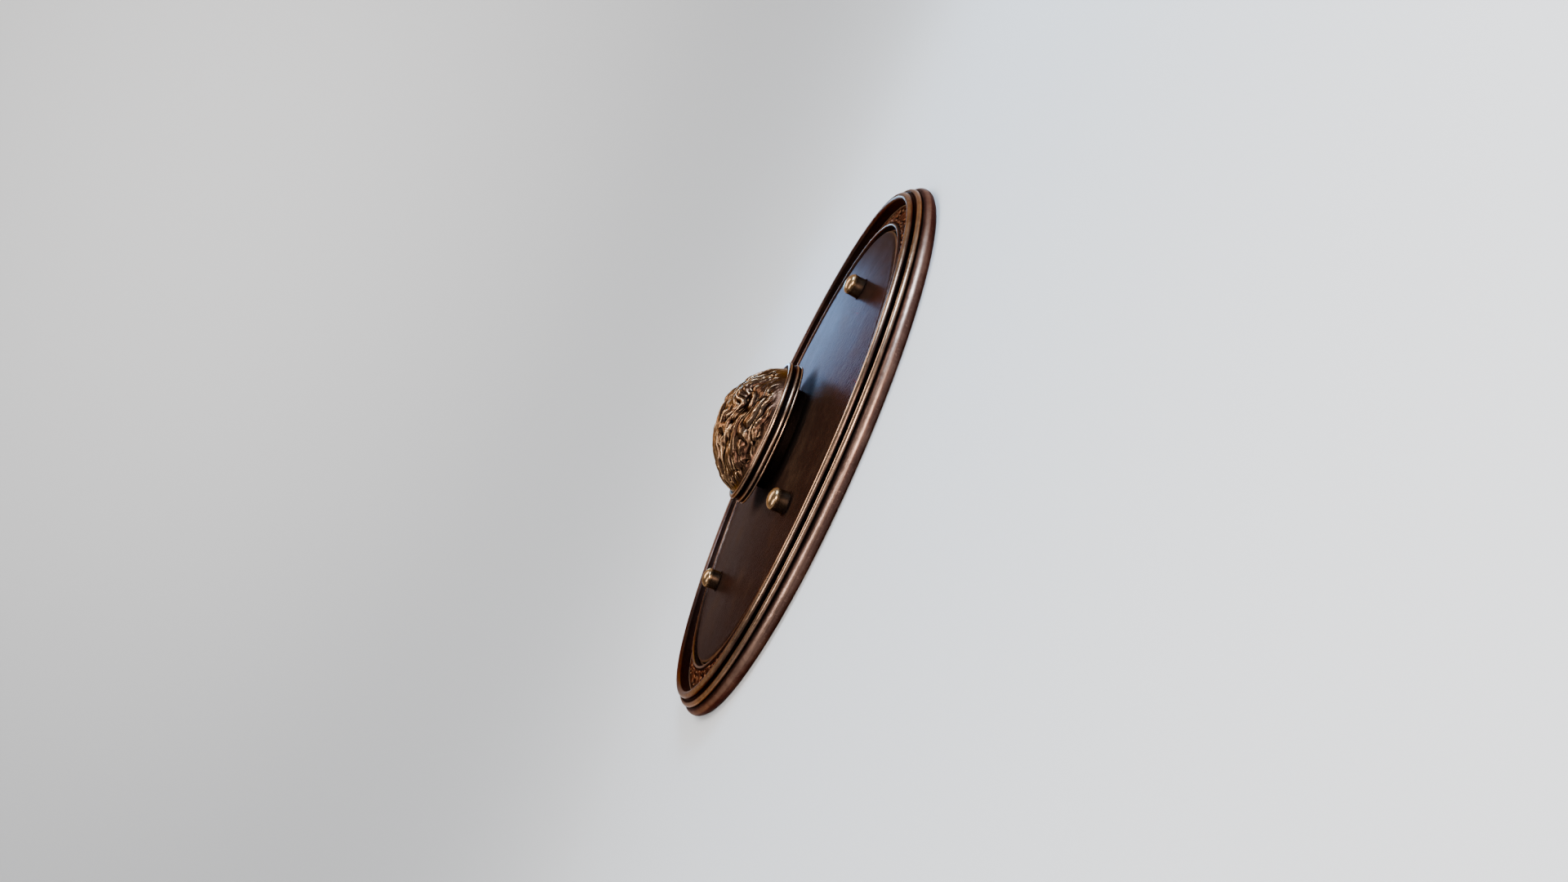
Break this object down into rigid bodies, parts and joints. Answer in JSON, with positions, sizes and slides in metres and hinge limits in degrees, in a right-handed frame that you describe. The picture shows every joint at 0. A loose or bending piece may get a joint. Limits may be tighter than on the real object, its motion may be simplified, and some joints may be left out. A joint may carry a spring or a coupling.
{
  "type": "round shield",
  "caption": "Round domed bronze shield with a carved hollow boss, a beaded rim round a carved channel, riveted studs and a hand grip behind.",
  "frame": {"origin": "on the boss's axis, in the plane that the rim's back edge rests on", "axes": "+Z out of the shield's front along the boss's axis, +X along the grip through the first stud"},
  "size_m": [0.6, 0.6, 0.103],
  "materials": {
    "dark_patinated_bronze": "dark reddish-brown patina over bronze, satin",
    "cast_golden_bronze": "cast bronze, golden brown where rubbed and dark in the hollows",
    "worn_bronze": "bronze worn bright by handling"
  },
  "bodies": {
    "root": {"shield_plate": "dark_patinated_bronze", "boss": "cast_golden_bronze", "grip": "worn_bronze", "stud_1": "worn_bronze", "stud_2": "worn_bronze", "stud_3": "worn_bronze", "stud_4": "worn_bronze"}
  },
  "joints": []
}
